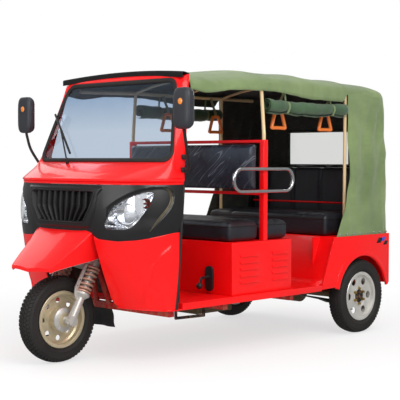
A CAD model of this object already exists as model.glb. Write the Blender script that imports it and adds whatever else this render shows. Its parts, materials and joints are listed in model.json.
import bisect
import json
import math
import bmesh
import bpy
from mathutils import Matrix, Vector, noise
from mathutils.bvhtree import BVHTree

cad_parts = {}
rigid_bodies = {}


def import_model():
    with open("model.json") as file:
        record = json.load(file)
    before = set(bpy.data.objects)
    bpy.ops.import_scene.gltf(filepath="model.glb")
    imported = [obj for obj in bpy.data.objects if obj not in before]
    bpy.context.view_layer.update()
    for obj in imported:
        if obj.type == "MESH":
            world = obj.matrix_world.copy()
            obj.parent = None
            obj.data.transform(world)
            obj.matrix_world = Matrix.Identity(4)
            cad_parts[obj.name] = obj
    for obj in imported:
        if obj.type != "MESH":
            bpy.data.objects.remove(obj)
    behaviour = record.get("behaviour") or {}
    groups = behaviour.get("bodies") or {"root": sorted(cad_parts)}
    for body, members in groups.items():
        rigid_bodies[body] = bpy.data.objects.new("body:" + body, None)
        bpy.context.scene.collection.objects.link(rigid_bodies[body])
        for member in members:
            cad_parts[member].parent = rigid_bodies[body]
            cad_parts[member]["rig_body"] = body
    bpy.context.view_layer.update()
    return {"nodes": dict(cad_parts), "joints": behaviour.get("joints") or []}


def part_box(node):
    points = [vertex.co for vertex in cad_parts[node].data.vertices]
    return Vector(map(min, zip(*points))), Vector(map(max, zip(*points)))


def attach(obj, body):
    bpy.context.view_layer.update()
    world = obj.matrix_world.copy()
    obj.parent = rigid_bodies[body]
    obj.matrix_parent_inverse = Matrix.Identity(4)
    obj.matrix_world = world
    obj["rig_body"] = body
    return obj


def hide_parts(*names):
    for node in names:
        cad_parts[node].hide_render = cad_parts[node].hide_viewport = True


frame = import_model()
nodes = frame["nodes"]
scene = bpy.context.scene
mm = 0.001


def middle(node):
    low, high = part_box(node)
    return (low + high) / 2


frontWheel = middle("front_tyre")
rearWheels = {"left": middle("rear_left_tyre"), "right": middle("rear_right_tyre")}


def at(x, y, z):  # millimetres, x ahead of the front axle
    return Vector((frontWheel.x + x * mm, y * mm, z * mm))


print("frame loaded,", len(nodes), "nodes")


# Camera at the photograph's place
shot = {"place": (5.149927, 5.028942, 1.192717), "yaw": 43.84969, "pitch": 2.02732, "roll": 0.199, "lens": 97.06}


def setCamera():
    yaw, pitch, roll = (math.radians(shot[key]) for key in ("yaw", "pitch", "roll"))
    ahead = Vector((-math.cos(yaw) * math.cos(pitch), -math.sin(yaw) * math.cos(pitch), -math.sin(pitch)))
    side = ahead.cross(Vector((0, 0, 1))).normalized()
    up = side.cross(ahead)
    right = math.cos(roll) * side + math.sin(roll) * up
    top = math.cos(roll) * up - math.sin(roll) * side
    data = bpy.data.cameras.new("camera")
    data.lens = shot["lens"]
    data.sensor_width = 36
    data.clip_end = 100
    camera = bpy.data.objects.new("camera", data)
    scene.collection.objects.link(camera)
    turn = Matrix((right, top, -ahead)).transposed().to_4x4()
    camera.matrix_world = Matrix.Translation(shot["place"]) @ turn
    scene.camera = camera


setCamera()


# Shader maths: one wrapped socket, with operators that add Math nodes
class Wire:
    def __init__(self, tree, socket=None):
        self.tree = tree
        self.socket = socket

    def node(self, kind, settings=None, inputs=None, out=0):
        made = self.tree.nodes.new("ShaderNode" + kind)
        for key, value in (settings or {}).items():
            if key == "stops":
                ramp = made.color_ramp
                while len(ramp.elements) < len(value):
                    ramp.elements.new(0.5)
                for element, (place, colour) in zip(ramp.elements, value):
                    element.position = place
                    element.color = colour
            else:
                setattr(made, key, value)
        for key, value in (inputs or {}).items():
            if isinstance(value, Wire):
                self.tree.links.new(value.socket, made.inputs[key])
            else:
                made.inputs[key].default_value = value
        return Wire(self.tree, made.outputs[out])

    def combine(self, operation, other=0.0, swapped=False):
        pair = (other, self) if swapped else (self, other)
        return self.node("Math", {"operation": operation}, dict(enumerate(pair)))

    def __add__(self, other):
        return self.combine("ADD", other)

    def __sub__(self, other):
        return self.combine("SUBTRACT", other)

    def __rsub__(self, other):
        return self.combine("SUBTRACT", other, True)

    def __mul__(self, other):
        return self.combine("MULTIPLY", other)

    def __truediv__(self, other):
        return self.combine("DIVIDE", other)

    def __pow__(self, other):
        return self.combine("POWER", other)

    __radd__ = __add__
    __rmul__ = __mul__

    def clamped(self, low, high):  # 0 at low, 1 at high
        return self.node("MapRange", {"clamp": True}, {0: self, 1: low, 2: high, 3: 0.0, 4: 1.0})

    def sine(self):
        return self.combine("SINE")


def lin(red, green, blue):  # a written colour as scene linear
    parts = [c / 255 for c in (red, green, blue)]
    return tuple(((c + 0.055) / 1.055) ** 2.4 if c > 0.04 else c / 12.92 for c in parts) + (1.0,)


def cloud(p, scale, detail=3.0, rough=0.5):
    return p.node("TexNoise", {}, {"Vector": p, "Scale": scale, "Detail": detail, "Roughness": rough})


def tinted(p, factor, dark, light):
    return p.node("Mix", {"data_type": "RGBA"}, {0: factor, 6: dark, 7: light}, 2)


def bumped(p, height, strength, distance):
    return p.node("Bump", {}, {"Strength": strength, "Distance": distance, "Height": height})


def stretched(p, scale):
    return p.node("Mapping", {}, {"Vector": p, "Scale": scale})


def part(p, index):
    return p.node("SeparateXYZ", {}, {"Vector": p}, index)


def newFinish(name, uniform, surface, coords="Object"):
    material = bpy.data.materials.new(name)
    material.use_nodes = True
    tree = material.node_tree
    shader = tree.nodes["Principled BSDF"]
    for key, value in uniform.items():
        shader.inputs[key].default_value = value
    place = Wire(tree, tree.nodes.new("ShaderNodeTexCoord").outputs[coords])
    for key, wire in surface(place).items():
        tree.links.new(wire.socket, shader.inputs[key])
    return material


def paint(name, dark, light, coat, roughness, dust=0.0):
    def surface(p):
        worn = cloud(p, 34.0, 5.0, 0.62)
        colour = tinted(p, cloud(p, 2.6, 2.0), dark, light)
        low = (1 - part(p, 2).clamped(0.3, 0.62)) * worn.clamped(0.42, 0.7) * dust
        colour = tinted(p, low, colour, lin(150, 112, 86))
        return {
            "Base Color": colour,
            "Roughness": worn * (roughness[1] - roughness[0]) + roughness[0] + low * 0.4,
            "Normal": bumped(p, cloud(p, 310.0, 2.0), 0.05, 0.0008),
        }

    shine = {"Coat Weight": coat, "Coat Roughness": 0.05, "Coat IOR": 1.5, "Specular IOR Level": 0.22}
    return newFinish(name, shine, surface)


def moulded(name, dark, light, roughness, grain=520.0, depth=0.12, coat=0.0):
    def surface(p):
        worn = cloud(p, 18.0, 4.0, 0.6)
        return {
            "Base Color": tinted(p, cloud(p, 5.0, 3.0), dark, light),
            "Roughness": worn * (roughness[1] - roughness[0]) + roughness[0],
            "Normal": bumped(p, cloud(p, grain, 3.0, 0.6), depth, 0.0006),
        }

    return newFinish(name, {"Coat Weight": coat, "Coat Roughness": 0.12}, surface)


def metal(name, dark, light, roughness, metallic=1.0, rust=0.0, brush=(60.0, 60.0, 60.0)):
    def surface(p):
        streak = cloud(stretched(p, brush), 1.0, 4.0, 0.6)
        spots = cloud(p, 48.0, 6.0, 0.68).clamped(0.54, 0.7) * rust
        colour = tinted(p, streak, dark, light)
        return {
            "Base Color": tinted(p, spots, colour, lin(104, 66, 40)),
            "Metallic": metallic - spots * 0.7,
            "Roughness": streak * (roughness[1] - roughness[0]) + roughness[0] + spots * 0.3,
            "Normal": bumped(p, streak, 0.06, 0.0006),
        }

    return newFinish(name, {}, surface)


def vinyl(name, dark, light, roughness, coat, creases=0.0):
    def surface(p):
        grain = p.node("TexVoronoi", {"feature": "DISTANCE_TO_EDGE"}, {"Vector": p, "Scale": 330.0})
        dust = cloud(p, 7.0, 4.0, 0.6)
        height = grain * 2.0 + cloud(p, 60.0, 3.0)
        colour = tinted(p, dust, dark, light)
        if creases:
            lean = p.node("Mapping", {}, {"Vector": p, "Rotation": (-0.7, 0.0, 0.0)})
            fold = (cloud(stretched(lean, (3.0, 2.2, 24.0)), 1.0, 1.5, 0.45) - 0.5).combine("ABSOLUTE")
            height = height + (1 - fold.clamped(0.0, 0.05)) * creases
            glint = (1 - fold.clamped(0.0, 0.02)) * cloud(p, 7.0).clamped(0.38, 0.6) * 0.4
            colour = tinted(p, glint, colour, lin(190, 196, 204))
        return {
            "Base Color": colour,
            "Roughness": dust * (roughness[1] - roughness[0]) + roughness[0],
            "Normal": bumped(p, height, 0.16, 0.0012),
        }

    return newFinish(name, {"Coat Weight": coat, "Coat Roughness": 0.16}, surface)


def canvas(name, dark, light, thread=0.0022):
    def surface(p):
        turn = 2 * math.pi / thread
        warp = (part(p, 0) * turn).sine()
        weft = (part(p, 1) * turn).sine()
        weave = warp * weft
        faded = cloud(p, 2.4, 5.0, 0.6)
        slub = cloud(stretched(p, (14.0, 420.0, 1.0)), 1.0, 2.0)
        colour = tinted(p, faded.clamped(0.3, 0.72), dark, light)
        colour = tinted(p, slub.clamped(0.5, 0.8) * 0.22, colour, lin(164, 172, 132))
        hollow = cloud(stretched(p, (8.0, 1.8, 1.0)), 1.0, 3.0, 0.55)  # long soft folds
        crest = 1 - (hollow - 0.55).combine("ABSOLUTE").clamped(0.0, 0.03)
        colour = tinted(p, (1 - hollow.clamped(0.3, 0.48)) * 0.35, colour, dark)
        colour = tinted(p, crest * 0.22, colour, light)  # rubbed pale
        return {
            "Base Color": tinted(p, weave.clamped(-1.0, 0.2) * 0.22 + 0.78, lin(46, 56, 38), colour),
            "Roughness": faded * 0.14 + 0.76,
            "Normal": bumped(p, weave * 0.5 + cloud(p, 38.0, 4.0) * 2.0 + hollow * 16.0, 0.28, 0.0011),
        }

    return newFinish(name, {"Sheen Weight": 0.25, "Sheen Roughness": 0.5}, surface, "UV")


tintHeights = (1.38, 1.66)  # metres, where a glass's tint begins and where it is full


def clear(name, colour, roughness, ior=1.46, grain=8.0, depth=0.02, band=None):
    def surface(p):
        haze = cloud(p, grain, 4.0, 0.6)
        tint = part(p, 2).clamped(*tintHeights) * (haze * 0.4 + 0.8)
        return {
            "Base Color": tinted(p, tint, colour, band or colour),
            "Roughness": haze * 0.05 + roughness,
            "Normal": bumped(p, haze, depth, 0.002),
        }

    return newFinish(name, {"Transmission Weight": 1.0, "IOR": ior}, surface)


recipes = [  # maker, name, the two colours it varies between, then the maker's own values
    (paint, "redPaint", (230, 4, 8), (246, 7, 12), 0.4, (0.3, 0.42), 0.04),
    (paint, "frameRed", (150, 10, 14), (188, 16, 20), 0.4, (0.4, 0.6), 0.8),
    (paint, "blackPaint", (14, 14, 15), (30, 30, 31), 0.05, (0.46, 0.62), 0.5),
    (moulded, "maskBlack", (13, 13, 15), (27, 27, 29), (0.3, 0.44), 640.0, 0.1, 0.2),
    (moulded, "trimBlack", (16, 16, 17), (34, 34, 36), (0.42, 0.62)),
    (moulded, "mirrorShell", (34, 36, 42), (52, 54, 60), (0.36, 0.5), 700.0, 0.16),
    (moulded, "rubber", (18, 18, 18), (40, 39, 38), (0.55, 0.8), 260.0, 0.2),
    (moulded, "tyreRubber", (16, 15, 15), (43, 40, 37), (0.6, 0.84), 150.0, 0.28),
    (metal, "chrome", (205, 206, 208), (236, 236, 236), (0.06, 0.2), 1.0, 0.0, (30.0, 30.0, 30.0)),
    (metal, "bronzeTrim", (62, 56, 44), (112, 103, 84), (0.3, 0.44), 0.6),
    (metal, "lampChrome", (214, 218, 226), (250, 250, 252), (0.08, 0.2), 1.0, 0.0, (20.0, 20.0, 20.0)),
    (metal, "castAlloy", (168, 166, 160), (214, 212, 206), (0.3, 0.5), 0.5, 0.1, (90.0, 90.0, 40.0)),
    (metal, "springSteel", (168, 112, 92), (222, 184, 164), (0.26, 0.46), 0.5, 0.2, (80.0, 80.0, 80.0)),
    (metal, "rimGold", (186, 172, 138), (222, 210, 180), (0.24, 0.42), 0.5, 0.1, (24.0, 24.0, 24.0)),
    (metal, "rimSilver", (196, 194, 188), (228, 226, 220), (0.22, 0.4), 0.5, 0.1, (24.0, 24.0, 24.0)),
    (metal, "zincYellow", (150, 124, 66), (214, 186, 112), (0.24, 0.44), 0.95, 0.2),
    (metal, "darkSteel", (30, 29, 28), (58, 55, 52), (0.42, 0.66), 0.6, 0.5),
    (metal, "engineMetal", (74, 62, 44), (128, 112, 84), (0.4, 0.66), 0.6, 0.6, (30.0, 60.0, 30.0)),
    (paint, "creamPaint", (206, 178, 128), (232, 208, 164), 0.5, (0.3, 0.5), 0.3),
    (vinyl, "seatVinyl", (15, 16, 20), (42, 44, 52), (0.34, 0.52), 0.18),
    (vinyl, "filmedVinyl", (22, 25, 32), (56, 60, 72), (0.16, 0.3), 0.6, 6.0),
    (canvas, "lining", (22, 24, 22), (40, 42, 38)),
    (canvas, "canvasGreen", (88, 108, 64), (130, 150, 94)),
    (canvas, "rollVinyl", (30, 62, 34), (54, 94, 52), 0.004),
    (canvas, "webbing", (126, 122, 86), (168, 160, 118), 0.003),
    (moulded, "orangePlastic", (224, 108, 34), (246, 138, 60), (0.32, 0.46), 420.0, 0.06, 0.3),
    (moulded, "amberLens", (214, 112, 26), (244, 150, 56), (0.14, 0.24), 380.0, 0.1, 0.8),
    (moulded, "redLens", (120, 4, 8), (176, 10, 14), (0.12, 0.22), 300.0, 0.14, 0.8),
    (moulded, "lampRed", (96, 22, 20), (140, 40, 32), (0.14, 0.24), 220.0, 0.2, 0.6),
    (metal, "mirrorSilver", (224, 228, 232), (240, 242, 244), (0.02, 0.05)),
    (paint, "stripeBlue", (34, 60, 190), (58, 88, 220), 0.6, (0.3, 0.4)),
]
finishes = {name: make(name, lin(*dark), lin(*light), *more) for make, name, dark, light, *more in recipes}
glazes = [  # name, colour, roughness, index, haze scale, haze depth, tint at the top
    ("screenGlass", (0.66, 0.78, 0.93, 1.0), 0.0, 1.46, 8.0, 0.02, (0.3, 0.46, 0.7, 1.0)),
    ("lensGlass", (0.98, 0.99, 1.0, 1.0), 0.0, 1.4, 30.0, 0.03),
    ("clearVinyl", (0.93, 0.94, 0.92, 1.0), 0.05, 1.35, 9.0, 0.5),
]
finishes.update({name: clear(name, *more) for name, *more in glazes})
print("finishes made,", len(finishes))


# Stage: pale floor, white backdrop, soft boxes
stage = {"floor": 24.0, "ambient": 0.55, "mirrored": 0.3, "pale": lin(238, 238, 238), "white": (1.0, 1.0, 1.0, 1.0),
         "fade": (1.6, 3.4)}
lamps = [  # place, aim, width, height, watts
    ((2.0, 5.6, 4.6), (0.0, 0.0, 0.8), 5.4, 3.6, 300.0),
    ((0.0, 0.5, 6.4), (0.0, 0.0, 0.8), 7.0, 7.0, 140.0),
    ((6.6, 0.4, 2.8), (0.6, 0.0, 0.8), 5.0, 3.6, 135.0),
    ((-0.8, -5.6, 4.0), (0.0, 0.0, 0.9), 5.0, 3.4, 70.0),
]


def raysOf(wire):  # camera and glass rays see the backdrop's own colour, mirror rays a dimmer one
    rays = [wire.node("LightPath", {}, {}, out) for out in ("Is Camera Ray", "Is Transmission Ray", "Is Glossy Ray")]
    return (rays[0] + rays[1]).clamped(0.0, 1.0), rays[2]


def setStage():
    world = bpy.data.worlds.new("studio")
    world.use_nodes = True
    scene.world = world
    tree = world.node_tree
    wire = Wire(tree)
    shown, mirrored = raysOf(wire)
    ambient, dimmed = stage["ambient"], stage["mirrored"]
    strength = shown * (1.0 - ambient) + mirrored * (dimmed - ambient) + ambient
    backdrop = tree.nodes["Background"]
    backdrop.inputs["Color"].default_value = stage["white"]
    tree.links.new(strength.socket, backdrop.inputs["Strength"])
    bm = bmesh.new()
    bmesh.ops.create_grid(bm, x_segments=4, y_segments=4, size=stage["floor"] / 2)
    mesh = bpy.data.meshes.new("studioFloor")
    bm.to_mesh(mesh)
    bm.free()
    floor = bpy.data.objects.new("studioFloor", mesh)
    scene.collection.objects.link(floor)
    material = bpy.data.materials.new("paleFloor")
    material.use_nodes = True
    tree = material.node_tree
    shader = tree.nodes["Principled BSDF"]
    shader.inputs["Base Color"].default_value = stage["pale"]
    shader.inputs["Roughness"].default_value = 0.9
    shader.inputs["Specular IOR Level"].default_value = 0.1
    place = Wire(tree, tree.nodes.new("ShaderNodeTexCoord").outputs["Object"])
    far = place.node("VectorMath", {"operation": "LENGTH"}, {0: place}, 1).clamped(*stage["fade"])
    glow = place.node("Emission", {}, {"Color": stage["white"], "Strength": 1.0})
    lit = Wire(tree, shader.outputs[0])
    shown, mirrored = raysOf(place)
    both = place.node("MixShader", {}, {0: shown * (far * 0.35 + 0.65), 1: lit, 2: glow})
    dim = place.node("Emission", {}, {"Color": stage["pale"], "Strength": dimmed})
    both = place.node("MixShader", {}, {0: mirrored, 1: both, 2: dim})
    tree.links.new(both.socket, tree.nodes["Material Output"].inputs["Surface"])
    mesh.materials.append(material)
    for index, (place, aim, width, height, watts) in enumerate(lamps):
        data = bpy.data.lights.new("softBox%d" % index, "AREA")
        data.shape = "RECTANGLE"
        data.size, data.size_y, data.energy = width, height, watts
        lamp = bpy.data.objects.new("softBox%d" % index, data)
        scene.collection.objects.link(lamp)
        lamp.location = place
        lamp.rotation_euler = (Vector(aim) - Vector(place)).to_track_quat("-Z", "Y").to_euler()


setStage()
scene.view_settings.view_transform = "Standard"
print("stage set")


# Modelling helpers
def gridSheet(cols, rows, place, span=(1.0, 1.0), bm=None):  # place(u, v) maps a grid, span is its size for the weave
    bm = bm or bmesh.new()
    layer = bm.loops.layers.uv.get("weave") or bm.loops.layers.uv.new("weave")
    verts = bmesh.ops.create_grid(bm, x_segments=cols, y_segments=rows, size=0.5)["verts"]
    for face in {f for v in verts for f in v.link_faces}:
        for loop in face.loops:
            loop[layer].uv = ((loop.vert.co.x + 0.5) * span[0], (loop.vert.co.y + 0.5) * span[1])
    for vert in verts:
        vert.co = place(vert.co.x + 0.5, vert.co.y + 0.5)
    return bm


def weld(bm, gap=2e-5):
    bmesh.ops.remove_doubles(bm, verts=bm.verts, dist=gap)


def flip(bm):
    bmesh.ops.reverse_faces(bm, faces=bm.faces)


def outward(bm):
    bmesh.ops.recalc_face_normals(bm, faces=bm.faces)


def turnTo(bm, axis, probe=None):  # flips a sheet, or one judged by a probe face, that looks down the axis
    if sum(f.normal[axis] for f in ([probe] if probe else bm.faces)) < 0:
        flip(bm)


def dropFaces(bm, gone):  # with the points they leave loose
    bmesh.ops.delete(bm, geom=gone, context="FACES")
    bmesh.ops.delete(bm, geom=[v for v in bm.verts if not v.link_faces], context="VERTS")


def bothSides(bm):
    copy = bmesh.ops.duplicate(bm, geom=bm.verts[:] + bm.edges[:] + bm.faces[:])["geom"]
    bmesh.ops.scale(bm, vec=(1, -1, 1), verts=[g for g in copy if isinstance(g, bmesh.types.BMVert)])
    bmesh.ops.reverse_faces(bm, faces=[g for g in copy if isinstance(g, bmesh.types.BMFace)])


def addPiece(name, bm, finish, body, stands=(), sharp=38):
    bm.normal_update()
    mesh = bpy.data.meshes.new(name)
    bm.to_mesh(mesh)
    bm.free()
    mesh.materials.append(finishes[finish])
    mesh.shade_smooth()
    mesh.set_sharp_from_angle(angle=math.radians(sharp))
    piece = bpy.data.objects.new(name, mesh)
    scene.collection.objects.link(piece)
    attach(piece, body)
    if stands:
        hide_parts(*stands)
    return piece


def wall(piece, thickness, rim=0.0, offset=-1.0):
    solid = piece.modifiers.new("wall", "SOLIDIFY")
    solid.thickness = thickness
    solid.offset = offset
    solid.use_even_offset = True
    if rim:
        edge = piece.modifiers.new("edge", "BEVEL")
        edge.width = rim
        edge.segments = 2
        edge.limit_method = "ANGLE"
        edge.angle_limit = math.radians(50)
    return piece


def cabSheet(name, bm, finish, thickness, stands=(), sharp=60, rim=0.0, offset=-1.0):
    return wall(addPiece(name, bm, finish, "chassis", stands, sharp), thickness, rim, offset)


def rounder(piece, levels):
    smooth = piece.modifiers.new("smooth", "SUBSURF")
    smooth.levels = levels
    smooth.render_levels = levels
    return piece


def settled(piece):  # the mesh with its modifiers applied
    bpy.context.view_layer.update()
    view = bpy.context.evaluated_depsgraph_get()
    mesh = bpy.data.meshes.new_from_object(piece.evaluated_get(view))
    piece.modifiers.clear()
    piece.data = mesh
    return piece


def bevelled(bm, edges, width, segments=2):
    bmesh.ops.bevel(bm, geom=edges, offset=width, offset_type="OFFSET", affect="EDGES", segments=segments,
                    profile=0.5, material=-1, clamp_overlap=True)


def cadCopy(node, finish, bevel=0.0015, name=None, sharp=32):
    bm = bmesh.new()
    bm.from_mesh(nodes[node].data)
    weld(bm)
    bmesh.ops.dissolve_limit(bm, angle_limit=math.radians(0.6), verts=bm.verts, edges=bm.edges)
    if bevel:
        crisp = [e for e in bm.edges if len(e.link_faces) == 2 and e.calc_face_angle() > math.radians(sharp)]
        bevelled(bm, crisp, bevel)
    words = node.split("_")
    name = name or words[0] + ("".join(word.capitalize() for word in words[1:]) or "Body")
    return addPiece(name, bm, finish, nodes[node]["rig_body"], (node,), sharp)


def spun(profile, origin, axis, radial, steps, bm=None):  # profile is (radius, along) in metres
    bm = bm or bmesh.new()
    axis, radial = Vector(axis).normalized(), Vector(radial).normalized()
    verts = [bm.verts.new(Vector(origin) + axis * along + radial * radius) for radius, along in profile]
    edges = [bm.edges.new(pair) for pair in zip(verts, verts[1:])]
    bmesh.ops.spin(bm, geom=verts + edges, cent=origin, axis=axis, angle=2 * math.pi, steps=steps, use_merge=True)
    return bm


def finishSpin(bm):
    weld(bm, 1e-6)
    outward(bm)
    return bm


def spline(a, b, c, d, f):  # Catmull-Rom between b and c
    return 0.5 * (2 * b + (c - a) * f + (2 * a - 5 * b + 4 * c - d) * f ** 2 + (3 * b - a - 3 * c + d) * f ** 3)


def smoothPath(points, steps, cyclic=False):
    count = len(points)
    path = []
    for i in range(count if cyclic else count - 1):
        pick = [points[(i + k) % count] if cyclic else points[min(max(i + k, 0), count - 1)] for k in (-1, 0, 1, 2)]
        near = [Vector(p) for p in pick]
        path += [spline(*near, j / steps) for j in range(steps)]
    if not cyclic:
        path.append(Vector(points[-1]))
    return path


def tube(name, paths, radius, finish, body, stands=(), cyclic=False, sides=4):
    curve = bpy.data.curves.new(name, "CURVE")
    curve.dimensions = "3D"
    curve.bevel_depth = radius
    curve.bevel_resolution = sides
    curve.use_fill_caps = True
    for path in paths:
        line = curve.splines.new("POLY")
        line.points.add(len(path) - 1)
        for point, spot in zip(line.points, path):
            point.co = (*spot, 1.0)
        line.use_cyclic_u = cyclic
    holder = bpy.data.objects.new(name + "Line", curve)
    scene.collection.objects.link(holder)
    bpy.context.view_layer.update()
    mesh = bpy.data.meshes.new_from_object(holder.evaluated_get(bpy.context.evaluated_depsgraph_get()))
    bpy.data.objects.remove(holder)
    bm = bmesh.new()
    bm.from_mesh(mesh)
    outward(bm)
    return addPiece(name, bm, finish, body, stands)


def studs(name, spots, radius, height, finish, body, slot, sides=6):  # heads on washers: (place, direction)
    bm = bmesh.new()
    for place, direction in spots:
        turn = Vector(direction).to_track_quat("Z", "Y").to_matrix().to_4x4()
        base = Matrix.Translation(place) @ turn
        for share, low, high, count in ((1.45, -0.2, 0.25, 16), (1.0, 0.2, 1.0, sides)):
            shift = Matrix.Translation((0, 0, height * (low + high) / 2))
            bmesh.ops.create_cone(bm, cap_ends=True, segments=count, radius1=radius * share,
                                  radius2=radius * share * 0.86, depth=height * (high - low), matrix=base @ shift)
    return addPiece(name, bm, finish, body)


def lookup(table, x):
    for (x0, y0), (x1, y1) in zip(table, table[1:]):
        if x <= x1:
            return y0 + (y1 - y0) * max(0.0, (x - x0) / (x1 - x0))
    return table[-1][1]


def mix(a, b, f):
    return a + (b - a) * f


def between(table, values, x):  # values at x along a rising table
    i = min(max(bisect.bisect_left(table, x), 1), len(table) - 1)
    return mix(values[i - 1], values[i], (x - table[i - 1]) / (table[i] - table[i - 1]))


def ease(x, low, high):
    f = min(1.0, max(0.0, (x - low) / (high - low)))
    return f * f * (3 - 2 * f)


# Cab surface, as in the solids: a blunt plan at each height
cab = {"nose": 35, "knee": 745, "slope": 0.39, "foot": 340, "belt": 1097, "roof": 1711, "doorFoot": 352,
       "doorBelt": 415, "doorRoof": 549, "halfFoot": 646, "half": 640, "halfRoof": 552, "maskTop": 1060, "bulge": 14}
maskEdge = [(0, 783), (240, 783), (300, 746), (430, 736), (530, 745), (580, 756), (630, 777), (650, 796)]


def cabAt(z, foot, belt, roof):  # a size of the cab at a height, from its values at three
    if z < cab["belt"]:
        return mix(cab[foot], cab[belt], (z - cab["foot"]) / (cab["belt"] - cab["foot"]))
    return mix(cab[belt], cab[roof], (z - cab["belt"]) / (cab["roof"] - cab["belt"]))


def doorX(z):
    return cabAt(z, "doorFoot", "doorBelt", "doorRoof")


def halfAt(z):
    return cabAt(z, "halfFoot", "half", "halfRoof")


def cabPoint(t, z, out=0.0):
    nose = cab["nose"] + max(0.0, cab["knee"] - z) * cab["slope"] - out
    door, turn = doorX(z), math.pi / 2 * min(1.0, abs(t))
    ahead = -door + (door - nose) * max(0.0, math.cos(turn)) ** 0.909
    side = math.copysign((halfAt(z) + out) * math.sin(turn) ** 0.667, t)
    return at(ahead, side, z)


def buildPlan():  # arc length along half the plan against t
    spots = [(i / 800) ** 1.5 for i in range(801)]
    lengths, last, run = [], None, 0.0
    for t in spots:
        point = cabPoint(t, 900, 8)
        run += (point - last).length / mm if last else 0.0
        lengths.append(run)
        last = point
    return spots, lengths


planSteps, planLengths = buildPlan()
planReach = planLengths[-1]


def stepOf(s):  # t at an arc length
    return math.copysign(min(1.0, between(planLengths, planSteps, abs(s))), s)


def arcOf(y):  # arc length at a distance from the centre line
    t = math.asin(min(1.0, (abs(y) / (cab["half"] + 8)) ** 1.5)) / (math.pi / 2)
    return math.copysign(between(planSteps, planLengths, t), y)


def maskFoot(s):
    y = cab["half"] * math.sin(math.pi / 2 * abs(stepOf(s))) ** 0.667
    return sum(lookup(maskEdge, y + d) for d in (-12, -6, 0, 6, 12)) / 5


def maskPoint(s, z, out=0.0):
    foot = maskFoot(s)
    f = (z - foot) / (cab["maskTop"] - foot)
    return cabPoint(stepOf(s), z, out + cab["bulge"] * math.sin(math.pi * min(1.0, max(0.0, f))))


def roundedLoop(points, turns=2, share=0.2):  # corner cutting
    loop = [Vector((*p, 0.0)) for p in points]
    for _ in range(turns):
        loop = [q for a, b in zip(loop, loop[1:] + loop[:1]) for q in (a.lerp(b, share), a.lerp(b, 1 - share))]
    return loop


def insideLoop(spot, loop):
    inside = False
    for a, b in zip(loop, loop[1:] + loop[:1]):
        if (a.y > spot.y) != (b.y > spot.y) and spot.x < (b.x - a.x) * (spot.y - a.y) / (b.y - a.y) + a.x:
            inside = not inside
    return inside


def lineGap(spot, line):  # distance from a point to a run of points, and the share along it
    best, share = 1e9, 0.0
    for i, (a, b) in enumerate(zip(line, line[1:])):
        run = b - a
        f = min(1.0, max(0.0, (spot - a).dot(run) / run.length_squared))
        gap = (spot - a - run * f).length
        if gap < best:
            best, share = gap, (i + f) / (len(line) - 1)
    return best, share


def flatGrid(cols, rows, spot):  # a flat sheet in arc length and height, before it is bent to the cab
    bm = bmesh.new()
    bmesh.ops.create_grid(bm, x_segments=cols, y_segments=rows, size=0.5)
    for vert in bm.verts:
        vert.co = Vector((*spot(vert.co.x + 0.5, vert.co.y + 0.5), 0.0))
    return bm


def cutLoop(bm, loop, cell, keepInside):
    for a, b in zip(loop, loop[1:] + loop[:1]):
        centre, reach = (a + b) / 2, (b - a).length / 2 + cell * 1.8
        near = [f for f in bm.faces if (f.calc_center_bounds() - centre).length < reach]
        geom = list({g for f in near for g in (f, *f.edges, *f.verts)})
        bmesh.ops.bisect_plane(bm, geom=geom, dist=0.02, plane_co=a, plane_no=(b - a).cross(Vector((0, 0, 1))))
    low = Vector((min(p.x for p in loop), min(p.y for p in loop)))
    high = Vector((max(p.x for p in loop), max(p.y for p in loop)))

    def within(face):
        c = face.calc_center_median()
        return low.x < c.x < high.x and low.y < c.y < high.y and insideLoop(c, loop)

    dropFaces(bm, [f for f in bm.faces if within(f) != keepInside])


def bendToCab(bm, place):
    for vert in bm.verts:
        vert.co = place(vert.co.x, vert.co.y)


lampOutline = [(346, 809), (420, 803), (490, 804), (530, 834), (574, 918), (600, 1000), (598, 1020), (566, 1018),
               (515, 999), (457, 966), (397, 929), (376, 882)]
lampLoop = roundedLoop([(arcOf(y), z) for y, z in lampOutline])
grilleShape = [(200, 830), (260, 925), (292, 1010), (274, 1030)]
bezelShape = [(244, 806), (298, 915), (314, 1004), (350, 1046)]


def mirroredShape(shape):  # the right half of an outline, closed across the centre line
    full = [(-y, z) for y, z in reversed(shape)] + shape
    return [(arcOf(y), z) for y, z in full]


grilleLoop = roundedLoop(mirroredShape(grilleShape), 2, 0.08)
bezelLoop = roundedLoop(mirroredShape(bezelShape), 1, 0.05)
browLine = [Vector((s, z, 0)) for s, z in ((372, 905), (392, 936), (478, 990), (578, 1030), (664, 1043), (722, 1043),
                                           (764, 1022), (774, 982), (750, 923), (694, 859), (636, 791))]
browPath = smoothPath(browLine, 5)
browPocket = browPath + [Vector((480, 775, 0)), Vector((345, 785, 0)), Vector((350, 860, 0))]


def mirrorLoop(loop):
    return [Vector((-p.x, p.y, 0)) for p in reversed(loop)]


fascia = {"cols": 250, "rows": 50, "cell": 7.0, "pocket": 9.0, "soft": 9.0, "bezel": 8.0, "bezelReach": 375,
          "brow": 3.0, "browReach": 800, "wall": 0.009, "rim": 0.0012}


def maskRelief(s, z):  # a raised border round the grille, and the lamp's surround sunk below a brow line
    spot = Vector((abs(s), z, 0))
    if spot.x < fascia["bezelReach"]:
        edge = lineGap(spot, bezelLoop + bezelLoop[:1])[0]
        return fascia["bezel"] * ease(edge, 0.0, 7.0) if insideLoop(spot, bezelLoop) else 0.0
    if spot.x > fascia["browReach"]:
        return 0.0
    gap = lineGap(spot, browPath)[0]
    inside = insideLoop(spot, browPocket)
    sunk = 0.5 + 0.5 * min(1.0, gap / fascia["soft"]) * (1 if inside else -1)
    lift = fascia["brow"] * math.exp(-(gap / 8.0) ** 2) * (0 if inside else 1)
    return (lift - fascia["pocket"] * ease(sunk, 0.0, 1.0)) * ease(z, 792, 880)


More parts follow.
